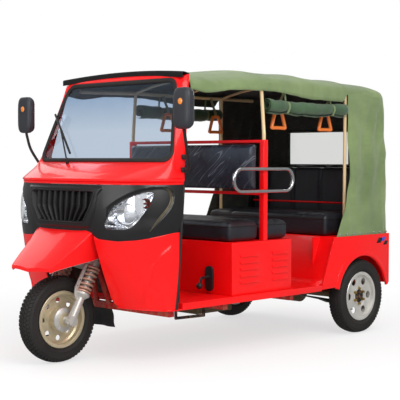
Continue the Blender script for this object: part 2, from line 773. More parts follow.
def makeFascia():
    def spot(u, v):
        s = mix(-planReach, planReach, u)
        return s, mix(maskFoot(s), cab["maskTop"], v)

    bm = flatGrid(fascia["cols"], fascia["rows"], spot)
    for loop in (lampLoop, mirrorLoop(lampLoop), grilleLoop):
        cutLoop(bm, loop, fascia["cell"], False)
    weld(bm, 0.7)
    bmesh.ops.dissolve_degenerate(bm, dist=0.3, edges=bm.edges)
    bendToCab(bm, lambda s, z: maskPoint(s, z, maskRelief(s, z)))
    piece = cabSheet("frontFascia", bm, "maskBlack", fascia["wall"], ("front_fascia",), 50, fascia["rim"])
    piece.modifiers["wall"].use_even_offset = False  # the cuts leave needle faces


makeFascia()
print("fascia made")

lampParts = {"cell": 5.5, "proud": -5.0, "dome": 7.0, "glass": 0.003, "back": -52.0, "rim": -8.0,
             "bowl": (486, 895, 56.0), "inner": (412, 880, 30.0), "indicator": (570, 956, 27.0),
             "dish": (0.12, 0.3, 0.45, 0.6, 0.75, 0.9, 1.0), "deep": 0.62,
             "bulb": [(0.0, 0.014), (0.006, 0.012), (0.009, 0.004), (0.009, -0.02), (0.012, -0.03)],
             "dot": [(0.0, 0.006), (0.004, 0.005), (0.0075, 0.002), (0.0085, -0.006)],
             "dots": [(360 + i * 21, 823 - i * 1.2) for i in range(8)]}


def lampGrid(loop):
    xs, ys = [p.x for p in loop], [p.y for p in loop]
    cols = int((max(xs) - min(xs)) / lampParts["cell"])
    rows = int((max(ys) - min(ys)) / lampParts["cell"])
    bm = flatGrid(cols, rows, lambda u, v: (mix(min(xs) - 2, max(xs) + 2, u), mix(min(ys) - 2, max(ys) + 2, v)))
    cutLoop(bm, loop, lampParts["cell"], True)
    return bm


def shrunk(loop, share):
    centre = sum(loop, Vector((0, 0, 0))) / len(loop)
    return [centre + (p - centre) * share for p in loop]


def maskOut(s, z):  # the way the mask faces
    return (maskPoint(s, z, 10.0) - maskPoint(s, z, -10.0)).normalized()


def makeLamps():
    lens = lampGrid(shrunk(lampLoop, 0.985))

    def lensPlace(s, z):
        gap = lineGap(Vector((s, z, 0)), lampLoop + lampLoop[:1])[0]
        return maskPoint(s, z, lampParts["proud"] + lampParts["dome"] * ease(gap, 0, 26))

    bendToCab(lens, lensPlace)
    bothSides(lens)
    cabSheet("headlampLenses", lens, "lensGlass", lampParts["glass"], ("headlamp_lenses",))

    tray = lampGrid(shrunk(lampLoop, 0.97))
    rim = [e for e in tray.edges if e.is_boundary]
    marks = {v: v.co.copy() for v in tray.verts}
    for vert, spot in marks.items():
        vert.co = maskPoint(spot.x, spot.y, lampParts["back"] * (0.55 + 0.45 * math.sin(spot.x * 0.02)))
    raised = bmesh.ops.extrude_edge_only(tray, edges=rim)["geom"]
    for vert in (g for g in raised if isinstance(g, bmesh.types.BMVert)):
        spot = min(((vert.co - v.co).length, s) for v, s in marks.items() if v.is_valid)[1]
        vert.co = maskPoint(spot.x, spot.y, lampParts["rim"])
    bothSides(tray)
    outward(tray)
    addPiece("headlampTrays", tray, "lampChrome", "chassis", ("headlamp_housings",), 30)

    bowls, reds, dots = bmesh.new(), bmesh.new(), bmesh.new()
    for key, bm in (("bowl", bowls), ("inner", bowls), ("indicator", reds)):
        y, z, radius = lampParts[key]
        s = arcOf(y)
        face = maskPoint(s, z, -10.0)
        out = (maskOut(s, z) + Vector((0.9, 0.2, 0.0))).normalized()  # turned to the road
        depth = radius * lampParts["deep"]
        dish = [(radius * mm * f, (-depth + depth * f * f) * mm) for f in lampParts["dish"]]
        rimShape = dish + [(radius * 1.06 * mm, 0.001), (radius * 1.08 * mm, -0.004)]
        spun(rimShape, face, out, out.orthogonal(), 40, bm)
        spun(lampParts["bulb"], face - out * depth * 0.5 * mm, out, out.orthogonal(), 16, bm)
    for y, z in lampParts["dots"]:
        s = arcOf(y)
        out = maskOut(s, z)
        spun(lampParts["dot"], maskPoint(s, z, -14.0), out, out.orthogonal(), 14, dots)
    for name, bm, finish, slot in (
        ("headlampBowls", bowls, "lampChrome", "reflector"), ("turnSignals", reds, "lampRed", "red_lens"),
        ("lampDots", dots, "lampChrome", "reflector"),
    ):
        finishSpin(bm)
        bothSides(bm)
        addPiece(name, bm, finish, "chassis", (), 60)


makeLamps()
print("headlamps made")

grille = {"frame": 18.0, "slats": 9, "slat": 13.0, "top": 1020, "knee": 926, "foot": 838, "reachTop": 222,
          "reachFoot": 146, "back": -26.0, "backHalf": 300, "backZ": (834, 1026),
          "border": ((0.0, -8.0), (0.0, 8.0), (1.5, 11.0), (6.0, 12.0), (10.0, 9.0), (12.0, 4.0))}


def insetLoop(loop, gap):  # counter-clockwise loop moved inwards
    count = len(loop)
    moved = []
    for i, point in enumerate(loop):
        run = (loop[(i + 1) % count] - loop[i - 1]).normalized()
        moved.append(point + Vector((-run.y, run.x, 0)) * gap)
    return moved


def loopRows(rows, closed=False, bm=None):  # rows of points round a ring, joined into a skin
    count, last = len(rows[0]), len(rows) - (0 if closed else 1)

    def place(u, v):
        return rows[round(v * last) % len(rows)][round(u * count) % count]

    bm = gridSheet(count, last, place, bm=bm)
    weld(bm, 1e-6)
    return bm


def makeGrille():
    steps = grille["border"] + ((grille["frame"], -22.0),)
    rows = [[maskPoint(p.x, p.y, out) for p in insetLoop(grilleLoop, gap)] for gap, out in steps]
    bm = loopRows(rows)
    half = grille["slat"] / 2
    section = ((-half, -20.0), (-half, 0.0), (-half * 0.6, 3.5), (half * 0.6, 3.5), (half, 0.0), (half, -20.0))
    for i in range(grille["slats"]):
        f = i / (grille["slats"] - 1)
        head = mix(-grille["reachTop"], grille["reachTop"], f)
        foot = mix(-grille["reachFoot"], grille["reachFoot"], f)

        def slat(u, v):
            z = mix(grille["foot"], grille["top"], v)
            y = mix(foot, head, min(1.0, (z - grille["foot"]) / (grille["knee"] - grille["foot"])))
            side, out = section[round(u * 5)]
            return maskPoint(arcOf(y + side), z, out)

        gridSheet(5, 16, slat, bm=bm)
    outward(bm)
    addPiece("grilleFrame", bm, "trimBlack", "chassis", ("grille",), 40)
    half = grille["backHalf"]
    back = gridSheet(24, 10, lambda u, v: maskPoint(mix(-half, half, u), mix(*grille["backZ"], v), grille["back"]))
    addPiece("grilleBack", back, "rubber", "chassis")


crescent = {"outer": [(716, 1044), (752, 1034), (770, 1008), (774, 975), (760, 938), (728, 897), (682, 845),
                      (640, 795)],
            "inner": [(716, 1040), (738, 1025), (751, 1000), (754, 975), (740, 941), (710, 903), (669, 852),
                      (636, 795)],
            "ridge": (-1.0, 3.0, 3.5, 0.0, 3.0, 2.5, -2.0), "full": 14.0, "wall": 0.003}


def makeCrescents():
    outer = smoothPath([(*p, 0) for p in crescent["outer"]], 6)
    inner = smoothPath([(*p, 0) for p in crescent["inner"]], 6)
    last, steps = len(outer) - 1, len(crescent["ridge"]) - 1

    def place(u, v):
        i, k = round(v * last), round(u * steps)
        spot = inner[i].lerp(outer[i], k / steps)
        taper = min(1.0, (outer[i] - inner[i]).length / crescent["full"])
        return maskPoint(spot.x, spot.y, maskRelief(spot.x, spot.y) + crescent["ridge"][k] * taper)

    bm = gridSheet(steps, last, place)
    flip(bm)
    bothSides(bm)
    cabSheet("lampCrescents", bm, "bronzeTrim", crescent["wall"], (), 50)


makeGrille()
makeCrescents()
print("grille and crescents made")


# Cab shell, seal and windscreen run round one loop: foot, right, top, left
screen = {"x": 278, "foot": 1190, "top": 1690, "lean": math.radians(23), "halfFoot": 620, "halfTop": 500,
          "corner": 66, "cornerStart": 0.88, "sweepFoot": 74, "sweepTop": 22, "seal": 24, "lapped": 11,
          "sunk": 0.004, "glass": 0.005}
screenOut = Vector((math.cos(screen["lean"]), 0, math.sin(screen["lean"])))
footSteps = [math.copysign((abs(i) / 60) ** 1.5, -i) for i in range(-60, 61)]
sideSteps = [0.05 + 0.1 * i for i in range(10)]
topSteps = [math.sin(math.pi / 2 * i / 36) for i in range(-36, 37)]


def screenShare(z):
    return (z - screen["foot"]) / (screen["top"] - screen["foot"])


def screenPoint(y, z):
    lean = (z - screen["foot"]) * math.tan(screen["lean"])
    sweep = mix(screen["sweepFoot"], screen["sweepTop"], screenShare(z))
    return at(-screen["x"] - lean - sweep * (y / screen["halfFoot"]) ** 2, y, z)


def screenHalf(z):
    return mix(screen["halfFoot"], screen["halfTop"], screenShare(z))


def cornerRise(e, inset):
    beyond = (abs(e) - screen["cornerStart"]) / (1 - screen["cornerStart"])
    drop = screen["corner"] * (1 - math.sqrt(1 - min(1.0, beyond) ** 2)) if beyond > 0 else 0.0
    return drop * (1 - inset / screen["corner"])


def screenLoop(inset):
    def across(e, z):
        return screenPoint(e * (screenHalf(z) - inset), z)

    def sideZ(f):
        return mix(screen["foot"] + screen["corner"], screen["top"] - screen["corner"], f)

    ends = [math.copysign(math.sin(math.pi / 2 * abs(t)) ** 0.667, t) for t in footSteps]
    foot = [across(e, screen["foot"] + inset + cornerRise(e, inset)) for e in ends]
    right = [across(-1, sideZ(f)) for f in sideSteps]
    top = [across(e, screen["top"] - inset - cornerRise(e, inset)) for e in topSteps]
    left = [across(1, sideZ(f)) for f in reversed(sideSteps)]
    return foot + right + top + left


def roofEdge(e):
    return at(-cab["doorRoof"] - 30 * (1 - e * e), cab["halfRoof"] * e, cab["roof"] + 26 * (1 - e * e))


def doorEdge(f, side):
    z = mix(cab["belt"] + 60, cab["roof"] - 60, f)
    return at(-doorX(z), side * halfAt(z), z)


def edgeLoop(z, out, grow):  # the shell's outer border, with a swage along the belt
    shift = Vector((6 * mm * grow, 0, 0))
    wide = Vector((0, out * mm * grow / 2, 0))
    foot = [cabPoint(t, z, out) for t in footSteps]
    right = [doorEdge(f, -1) + shift - wide for f in sideSteps]
    top = [roofEdge(e) + shift * 1.3 for e in topSteps]
    left = [doorEdge(f, 1) + shift + wide for f in reversed(sideSteps)]
    return foot + right + top + left


swage = [(1060.3, 0.0, 0.0), (1068, 2.0, 0.3), (1072, 3.0, 0.45), (1074.5, -1.5, 0.55), (1077, 4.0, 0.65),
         (1081, 7.0, 0.8), (1086, 8.0, 1.0), (1091, 7.0, 1.0), (1094, 2.0, 1.0)]  # height, out, share of the shift
shell = {"steps": (0.05, 0.1, 0.17, 0.25, 0.34, 0.44, 0.54, 0.64, 0.74, 0.83, 0.91, 0.97, 1.0), "crown": 14,
         "wall": 0.006, "rim": 0.001}
sealLip = ((-2.0, 1.0), (-0.5, 4.5), (4.0, 7.0), (11.0, 7.0), (18.0, 5.0), (23.0, 1.5), (24.5, -8.0), (1.0, -8.0))
glassRings = (1.0, 0.992, 0.984, 0.85, 0.7, 0.55, 0.4, 0.25, 0.12, 0.0)  # the outer ones lie under the seal


def makeCabShell():
    rows = [edgeLoop(*step) for step in swage]
    start, inner = edgeLoop(1088, 7.0, 1.0), screenLoop(0.0)
    for f in shell["steps"]:
        rise = shell["crown"] * mm * math.sin(math.pi * f) ** 0.6 if f < 1 else 0.0
        rows.append([a.lerp(b, f) + screenOut * rise for a, b in zip(start, inner)])
    bm = loopRows(rows)
    outward(bm)
    turnTo(bm, 0, min(bm.faces, key=lambda f: (f.calc_center_median() - cabPoint(0.0, 1086, 8)).length))
    cabSheet("cabShell", bm, "redPaint", shell["wall"], ("cab_shell",), 55, shell["rim"])


def makeScreen():
    rows = [[p + screenOut * height * mm for p in screenLoop(inset)] for inset, height in sealLip]
    bm = loopRows(rows, True)
    outward(bm)
    addPiece("windscreenSeal", bm, "rubber", "chassis", ("windscreen_seal",), 60)

    edge = screenLoop(screen["seal"] - screen["lapped"])
    centreZ = (screen["foot"] + screen["top"]) / 2
    rings = []
    for share in glassRings:
        ring = [screenPoint(p.y / mm * share, mix(centreZ, p.z / mm, share)) for p in edge]
        rings.append([p - screenOut * screen["sunk"] for p in ring])
    bm = loopRows(rings)
    outward(bm)
    turnTo(bm, 0)
    cabSheet("windscreenGlass", bm, "screenGlass", screen["glass"], ("windscreen",), 70)


makeCabShell()
makeScreen()
print("cab shell and windscreen made")

flank = {"front": 275, "corner": 54, "bulge": 8, "foot": 340, "cols": 90, "rows": 56, "wall": 0.006,
         "rim": 0.001, "rubberTop": 1056, "rubber": 0.008,
         "crease": [(806, 711), (714, 655), (644, 590), (592, 503), (556, 421), (540, 360)]}
creasePath = smoothPath([(*p, 0) for p in flank["crease"]], 6)


def flankRelief(s, z):  # a soft crease sweeps forward and down from the mask's corner
    gap, share = lineGap(Vector((s, z, 0)), creasePath)
    outside = s > lookup(sorted((p.y, p.x) for p in creasePath), z)
    fade = ease(share, 0.0, 0.1) * (1 - ease(share, 0.86, 1.0))
    hollow = 5.0 * math.exp(-(gap / 45) ** 2) if outside else 0.0
    return fade * (7.5 * math.exp(-(gap / 15) ** 2) - hollow)


def makeFlanks():
    start = arcOf(flank["front"])

    def place(u, v):
        s = mix(start, planReach, u ** 1.15)
        t = stepOf(s)
        y = halfAt(flank["foot"]) * math.sin(math.pi / 2 * t) ** 0.667 - flank["front"]
        near = flank["corner"] - min(flank["corner"], max(0.0, y))
        foot = flank["foot"] + flank["corner"] - math.sqrt(max(0.0, flank["corner"] ** 2 - near ** 2))
        z = mix(foot, maskFoot(s) - 0.5, v)
        return cabPoint(t, z, flank["bulge"] * math.sin(math.pi * v) + flankRelief(s, z))

    bm = gridSheet(flank["cols"], flank["rows"], place)
    bothSides(bm)
    cabSheet("flankPanels", bm, "redPaint", flank["wall"], ("flank_panels",), 60, flank["rim"])
    heights = [mix(flank["foot"], flank["rubberTop"], i / 40) for i in range(41)]
    strips = [[cabPoint(side * 0.9999, z, 4.0) for z in heights] for side in (1, -1)]
    tube("doorEdgeRubbers", strips, flank["rubber"], "rubber", "chassis")


beak = [  # the first row is a flange tucked up behind the mask
    [(-150, 240, 640), (-64, 262, 792), (-64, 214, 806), (-64, 0, 806)],
    [(-138, 240, 632), (-44, 252, 771), (-39, 214, 782.7), (-39, 0, 782.7)],
    [(-60, 226, 612), (14, 232, 716), (16, 160, 742), (18, 0, 736)],
    [(60, 206, 590), (104, 208, 648), (112, 120, 668), (116, 0, 656)],
    [(150, 184, 570), (172, 186, 594), (184, 100, 602), (190, 0, 590)],
    [(192, 174, 556), (194, 175, 578), (206, 90, 580), (214, 0, 570)],
    [(193, 173, 552), (196, 173, 562), (207, 90, 560), (215, 0, 552)],
]
beakSkin = {"ridgeFrom": math.radians(9), "ridge": 0.007, "wall": 0.006, "rim": 0.0012, "edge": 0.004}


def makeBeak():
    full = [[(x, -y, z) for x, y, z in row] + row[-2::-1] for row in beak]
    last = len(full) - 1
    bm = gridSheet(6, last, lambda u, v: at(*full[round(v * last)][round(u * 6)]))
    turnTo(bm, 2)
    ridges = [e for e in bm.edges if len(e.link_faces) == 2 and e.calc_face_angle() > beakSkin["ridgeFrom"]]
    bevelled(bm, ridges, beakSkin["ridge"], 3)
    cabSheet("frontBeak", bm, "redPaint", beakSkin["wall"], ("front_beak",), 40, beakSkin["rim"])
    edges = [[at(*row[side]) for row in full[1:]] for side in (0, -1)]
    tube("beakEdges", edges, beakSkin["edge"], "castAlloy", "chassis", (), False, 3)


visor = {"reach": 58, "crown": 9, "droop": 24, "wall": 0.008, "rim": 0.0015}


def makeVisor():
    def place(u, v):
        e = math.sin(math.pi / 2 * mix(-1, 1, u))
        reach = visor["reach"] * math.sin(math.pi / 2 * min(1.0, v * 1.25))
        lift = visor["crown"] * math.sin(math.pi * min(1.0, v)) + 1.0 - visor["droop"] * ease(v, 0.55, 1.0) ** 2
        return roofEdge(e) + Vector((reach * mm, 0, lift * mm))

    bm = gridSheet(48, 14, place)
    turnTo(bm, 2)
    cabSheet("roofVisor", bm, "blackPaint", visor["wall"], ("roof_visor",), 60, visor["rim"], 0.0)


makeFlanks()
makeBeak()
makeVisor()
print("flanks, beak and visor made")


# Canopy: one cloth over the bows, down the quarters and across the back
canopy = {"rows": [(595, 1745, 1613, 562), (690, 1756, 1628, 578), (1165, 1790, 1664, 606), (1620, 1793, 1666, 606),
                   (2055, 1779, 1662, 606), (2398, 1773, 1656, 606), (2466, 1759, 1650, 602), (2500, 1731, 1642, 588),
                   (2510, 1689, 1632, 566)],
          "steps": (6, 20, 20, 20, 16, 5, 4, 3), "quarter": 4, "across": 96, "drop": 44, "foot": 686.3, "tail": 2514,
          "halfFoot": 590, "spread": 36, "flare": 167, "bows": (1165, 1620, 2055), "cloth": 0.003, "sag": 6.0,
          "hem": 26.0, "lap": 24.0, "hang": 22.0, "valance": 58.0, "window": (275, 1178, 1418),
          "rearOf": 2.49, "cab": 640, "partition": 1165}


def canopyRow(rho):  # smooth along the roof, through the bow rows
    i = min(int(rho), len(canopy["rows"]) - 2)
    a, b = canopy["rows"][i], canopy["rows"][i + 1]
    before = canopy["rows"][max(i - 1, 0)]
    after = canopy["rows"][min(i + 2, len(canopy["rows"]) - 1)]
    f = rho - i
    smooth = [spline(*four, f) for four in zip(before, a, b, after)]
    straight = [mix(q, r, f) for q, r in zip(a, b)]
    return [straight[0]] + [min(x, y + 4) for x, y in zip(smooth[1:], straight[1:])]


def archPoint(row, s):
    y = math.copysign(row[3] * math.sin(math.pi / 2 * abs(s)) ** 0.7, s)
    z = row[2] + (row[1] - row[2]) * max(0.0, math.cos(math.pi / 2 * abs(s))) ** 0.8
    return Vector((-row[0], y, z))


def buildArch():  # even steps along the arch
    row = canopy["rows"][3]
    spots = [(i / 1200) ** 1.4 for i in range(1201)]
    lengths, run, last = [0.0], 0.0, archPoint(row, 0.0)
    for s in spots[1:]:
        point = archPoint(row, s)
        run += (point - last).length
        lengths.append(run)
        last = point
    half, steps = canopy["across"] // 2, []
    for k in range(half + 1):
        i = min(max(bisect.bisect_left(lengths, run * k / half), 1), 1200)
        steps.append(spots[i] if k else 0.0)
    steps[-1] = 1.0
    return [-s for s in reversed(steps[1:])] + steps, run


archSteps, archLength = buildArch()
rhoSteps = [i + k / n for i, n in enumerate(canopy["steps"]) for k in range(n)] + [len(canopy["steps"])]


def ripple(x, y, z, size, seed):
    return noise.noise(Vector((x / size + seed, y / size, z / size)))


def roofSpot(rho, s):
    row = canopyRow(rho)
    spot = archPoint(row, s)
    x = row[0]
    taut = sum(math.exp(-((x - bow) / 26) ** 2) for bow in canopy["bows"])
    bay = min(abs(x - bow) for bow in canopy["bows"])
    slack = ease(bay, 0, 160) * (1 - ease(rho, 6.0, 7.5))
    side = ease(abs(s), 0.55, 0.85)
    edge = 1 - ease(1 - abs(s), 0.0, 0.12)
    spot.z += 3.0 * taut * (1 - edge) - canopy["sag"] * slack * (1 - side)
    folds = ripple(x, spot.y, spot.z, 120, 3.0) * 9.0 + ripple(x * 1.6, spot.y, spot.z * 0.4, 55, 9.0) * 5.0
    corner = math.exp(-((x - canopy["cab"]) / 130) ** 2)
    folds += 5.0 * corner * math.sin((x + spot.z * 0.9) / 24.0)
    spot.y += math.copysign(side * folds * slack, s) + math.copysign(side * corner * 4, s)
    if rho < 1:  # the front edge laps over the visor's back
        spot.x += (1 - rho) * (canopy["lap"] + 28 * s * s)
        spot.z += (1 - rho) * 6
    if rho < canopy["quarter"]:  # the free hem hangs below the rails, and rises between the cab and the partition
        rise = math.sin(math.pi * ease(x, canopy["cab"], 1150)) * 12 if x < 1150 else 0.0
        hang = mix(canopy["hang"], canopy["valance"], ease(x, canopy["partition"], 1700))
        hang *= ease(abs(s), 0.88, 1.0) * ease(x, 600, 700) * (1 - ease(x, 1990, 2055))
        spot.z += edge * (rise + ripple(x, 0, 0, 90, 5.0) * 4.0) - hang
    return at(*spot)


def wallTop(column):  # columns run right front, back, left front
    quarter = rhoSteps.index(canopy["quarter"])
    sides = len(rhoSteps) - 1 - quarter
    if column <= sides:
        return rhoSteps[quarter + column], -1.0
    if column >= sides + canopy["across"]:
        return rhoSteps[len(rhoSteps) - 1 - (column - sides - canopy["across"])], 1.0
    return rhoSteps[-1], archSteps[column - sides]


def wallSpot(column, f):
    rho, s = wallTop(column)
    top = roofSpot(rho, s)
    if f == 0:
        return top
    x, y, z = (top.x - frontWheel.x) / mm, top.y / mm, top.z / mm
    fall = mix(z, canopy["foot"], f)
    back = ease(rho, 7.0, 8.0)
    flare = canopy["flare"] * max(0.0, 2 * f - 1) ** 2 * (1 - ease(rho, 4.0, 5.0)) * (1 - back)
    spread = mix(y + math.copysign(canopy["spread"] * f, s), y * mix(1, canopy["halfFoot"] / 566, f), back)
    sway = mix(x, -canopy["tail"] + 4, f) - 6 * math.sin(math.pi * f) * math.cos(math.pi / 2 * s)
    ahead = mix(x + flare, sway, back)
    along = -ahead + abs(spread) * 0.6 if back < 0.5 else spread
    drape = math.sin(math.pi * min(1.0, f * 1.15)) ** 0.8
    folds = 12.0 * math.sin(along / 30 + 2.4 * ripple(along, 0, fall, 260, 2.0)) * drape
    patch = ease(ripple(along, 0, fall, 240, 6.0), -0.15, 0.35)
    folds += 10.0 * math.sin((along - fall * 0.4) / 19 + 3.0) * drape * patch
    folds += 7.0 * ripple(along * 1.4, 0, fall * 0.5, 70, 7.0) * ease(f, 0.0, 0.2)
    folds += 5.0 * math.sin((fall + along * 0.8) / 38) * math.exp(-((f - 0.12) / 0.12) ** 2)
    folds *= 1 - 0.6 * back
    hem = 1.6 if 1 - f < canopy["hem"] / 950 else 0.0
    outward = math.copysign(1.0, s) * (1 - back)
    return at(ahead - (folds * 0.5 + hem + 2) * back, spread + outward * (folds * 0.8 + hem), fall)


def makeCanopy():
    lastRow, across = len(rhoSteps) - 1, canopy["across"]
    span = (2 * archLength * mm, 2.0)

    def roofPlace(u, v):
        return roofSpot(rhoSteps[round(v * lastRow)], archSteps[round(u * across)])

    bm = gridSheet(across, lastRow, roofPlace, span)
    quarter = rhoSteps.index(canopy["quarter"])
    columns = 2 * (lastRow - quarter) + across
    gridSheet(columns, canopy["drop"], lambda u, v: wallSpot(round(u * columns), v), (2.1, 0.96), bm)
    weld(bm, 2e-4)
    half, low, high = canopy["window"]
    tail = frontWheel.x - canopy["rearOf"]
    for place, way in ((-half, (0, 1, 0)), (half, (0, 1, 0)), (low, (0, 0, 1)), (high, (0, 0, 1))):
        rear = [f for f in bm.faces if f.calc_center_median().x < tail]
        geom = list({g for f in rear for g in (f, *f.edges, *f.verts)})
        bmesh.ops.bisect_plane(bm, geom=geom, dist=1e-5, plane_co=Vector(way) * place * mm, plane_no=way)
    gone = []
    for face in bm.faces:
        c = face.calc_center_median()
        if c.x < tail and abs(c.y) < half * mm and low * mm < c.z < high * mm:
            gone.append(face)
    dropFaces(bm, gone)
    outward(bm)
    turnTo(bm, 2, max(bm.faces, key=lambda f: f.calc_center_median().z))
    area = sum(f.calc_area() for f in bm.faces)
    print("canopy cloth", round(area, 3), "square metres")
    stands = ("canopy_roof", "canopy_back", "canopy_quarters")
    piece = cabSheet("canopyCloth", bm, "canvasGreen", canopy["cloth"], stands, 80)
    piece.data.materials.append(finishes["lining"])
    piece.modifiers["wall"].material_offset = 1
    return piece


pane = {"lap": 18, "proud": 10, "wall": 0.0012}


def makeRearWindow():
    half, low, high = canopy["window"]
    lap = pane["lap"]

    def place(u, v):
        y, z = mix(-half - lap, half + lap, u), mix(low - lap, high + lap, v)
        sag = 2.5 * math.sin(u * 9.0) * math.sin(math.pi * v) + 1.5 * ripple(y, 0, z, 60, 1.0)
        return at(-canopy["tail"] + pane["proud"] + sag, y, z)

    bm = gridSheet(44, 20, place, (0.58, 0.27))
    flip(bm)
    piece = cabSheet("rearWindow", bm, "clearVinyl", pane["wall"], ("rear_window",), 80)


makeCanopy()
makeRearWindow()
print("canopy made")


# Rolled side curtains and the hand straps under the eaves
roll = {"x": (1206, 2035), "y": 590, "z": 1551, "core": 16.0, "radius": 49.0, "turns": 2.6, "ties": (1400, 1880),
        "sag": 9.0, "cloth": 0.0025, "rail": 1660, "railY": 576, "tieHalf": 9, "tieProud": 3.5, "tieWall": 0.002}


def rollSpot(side, along, turn, swell=0.0):
    x = mix(roll["x"][0], roll["x"][1], along)
    pinch = sum(math.exp(-((x - tie) / 34) ** 2) for tie in roll["ties"])
    loose = 1 + 0.14 * ripple(x, turn * 60, 0, 80, 4.0 + side)
    radius = (mix(roll["core"], roll["radius"], turn) * loose + swell) * (1 - 0.13 * min(1.0, pinch))
    angle = math.radians(80) + turn * roll["turns"] * 2 * math.pi
    sag = roll["sag"] * math.sin(math.pi * along) * (1 - 0.5 * min(1.0, pinch))
    lump = 6.0 * ripple(x, 0, 0, 70, 11.0 + side)
    return at(-x, side * (roll["y"] + radius * math.cos(angle)), roll["z"] - sag + lump + radius * math.sin(angle))


def makeRolls():
    length = math.pi * roll["turns"] * (roll["core"] + roll["radius"]) * mm
    start, end = roll["x"]
    width = (end - start) * mm
    last = 1 - 1 / roll["turns"]
    bands = bmesh.new()
    for side, name in ((1, "curtainRollLeft"), (-1, "curtainRollRight")):
        bm = gridSheet(110, 46, lambda u, v: rollSpot(side, v, u), (length, width))
        outward(bm)
        stands = ("curtain_rolls",) if side == 1 else ()
        piece = cabSheet(name, bm, "rollVinyl", roll["cloth"], stands, 80, 0.0, 0.0)
        for tie in roll["ties"]:

            def band(u, v):
                f = (tie - start + mix(-roll["tieHalf"], roll["tieHalf"], v)) / (end - start)
                spot = rollSpot(side, f, mix(last, 1.0, u), roll["tieProud"])
                seam = rollSpot(side, f, 1.0, roll["tieProud"])
                return spot.lerp(seam, ease(0.12 - u, 0.0, 0.12))

            def hanger(u, v):
                z = mix(roll["z"] + 36, roll["rail"], v)
                return at(-tie + mix(-8, 8, u), side * mix(roll["y"] - 2, roll["railY"] + 4, v), z)

            gridSheet(40, 4, band, (0.3, 0.03), bands)
            gridSheet(4, 10, hanger, (0.03, 0.11), bands)
    weld(bands)
    cabSheet("curtainTies", bands, "canvasGreen", roll["tieWall"], (), 60, 0.0, 0.0)


straps = {"x": (1420, 1918), "y": 512, "low": 1416, "high": 1530, "half": 64, "thick": 0.0118, "webHalf": 12,
          "webWall": 0.003}


def makeStraps():
    half, low, high = straps["half"], straps["low"], straps["high"]
    right = [(half * 0.4, low), (half, low), (half * 0.98, low + 18), (34, high - 14), (24, high)]
    corners = [(-half, low), (-half * 0.4, low)] + right + [(-a, b) for a, b in reversed(right[2:])]
    loops, webs = [], bmesh.new()
    for x in straps["x"]:
        for side in (1, -1):
            loops.append(smoothPath([at(-x + a, side * straps["y"], b) for a, b in corners], 5, True))

            def web(u, v):
                y = mix(straps["y"], roll["railY"] - 18, ease(v, 0.1, 1.0))
                across = mix(-straps["webHalf"], straps["webHalf"], u)
                return at(-x + across, side * y, mix(high - 4, roll["rail"] + 4, v))

            gridSheet(4, 16, web, (0.024, 0.15), webs)
    tube("handStraps", loops, straps["thick"], "orangePlastic", "chassis", ("hand_straps",), True, 5)
    cabSheet("strapWebs", webs, "webbing", straps["webWall"], (), 60, 0.0, 0.0)


makeRolls()
makeStraps()
print("curtain rolls and straps made")


# Cushions blown up a little inside their covers
cushions = {
    "driver_seat": {"name": "driverSeat", "finish": "seatVinyl", "seams": (), "swell": 0.012},
    "bench_seat": {"name": "benchSeat", "finish": "seatVinyl", "seams": (), "swell": 0.012},
    "rear_seat": {"name": "rearSeat", "finish": "seatVinyl", "seams": (-330, 0, 330), "swell": 0.015},
    "rear_backrest": {"name": "rearBackrest", "finish": "seatVinyl", "seams": (-380, -130, 130, 380), "swell": 0.014},
    "partition_pad": {"name": "partitionPad", "finish": "filmedVinyl", "seams": (), "swell": 0.008, "lift": 0.056},
}
blow = {"voxel": 0.014, "pressure": 4.0, "frames": 20, "shrink": 0.007, "round": 0.018, "seamReach": 40, "dip": 9.0,
        "tall": 0.3, "pipe": 0.0042, "turns": {True: 120, False: 160}}


def inflate(piece, swell):  # cloth under pressure, held to a set swell
    rest = [v.co.copy() for v in piece.data.vertices]
    cloth = piece.modifiers.new("cloth", "CLOTH")
    cloth.settings.use_pressure = True
    cloth.settings.uniform_pressure_force = blow["pressure"]
    cloth.settings.effector_weights.gravity = 0.0
    cloth.point_cache.frame_start = 1
    cloth.point_cache.frame_end = blow["frames"]
    for step in range(1, blow["frames"] + 1):
        scene.frame_set(step)
    settled(piece)
    scene.frame_set(1)
    for vert, start in zip(piece.data.vertices, rest):
        move = vert.co - start
        if move.length > swell:
            vert.co = start + move.normalized() * swell


def makeCushion(node, plan):
    low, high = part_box(node)
    low = low + Vector((0, 0, plan.get("lift", 0.0)))
    shrink = Vector((blow["shrink"],) * 3)
    bm = bmesh.new()
    bmesh.ops.create_cube(bm, size=1.0)
    bmesh.ops.scale(bm, vec=high - low - 2 * shrink, verts=bm.verts)
    bmesh.ops.translate(bm, vec=(low + high) / 2, verts=bm.verts)
    bevelled(bm, bm.edges[:], min(blow["round"], (high - low).x * 0.35), 3)
    piece = addPiece(plan["name"], bm, plan["finish"], nodes[node]["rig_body"], (node,), 80)
    remesh = piece.modifiers.new("voxels", "REMESH")
    remesh.mode = "VOXEL"
    remesh.voxel_size = blow["voxel"]
    settled(piece)
    inflate(piece, plan["swell"])
    upright = high.z - low.z > blow["tall"]
    for vert in piece.data.vertices:
        for seam in plan["seams"]:
            gap = abs(vert.co.y / mm - seam)
            if gap < blow["seamReach"]:
                dip = blow["dip"] * mm * math.exp(-(gap / 13) ** 2)
                if upright and vert.normal.x > 0.3:
                    vert.co.x -= dip
                elif vert.normal.z > 0.3:
                    vert.co.z -= dip
        vert.co.z = max(vert.co.z, low.z)
    piece.data.shade_smooth()
    rounder(piece, 1)
    return piece


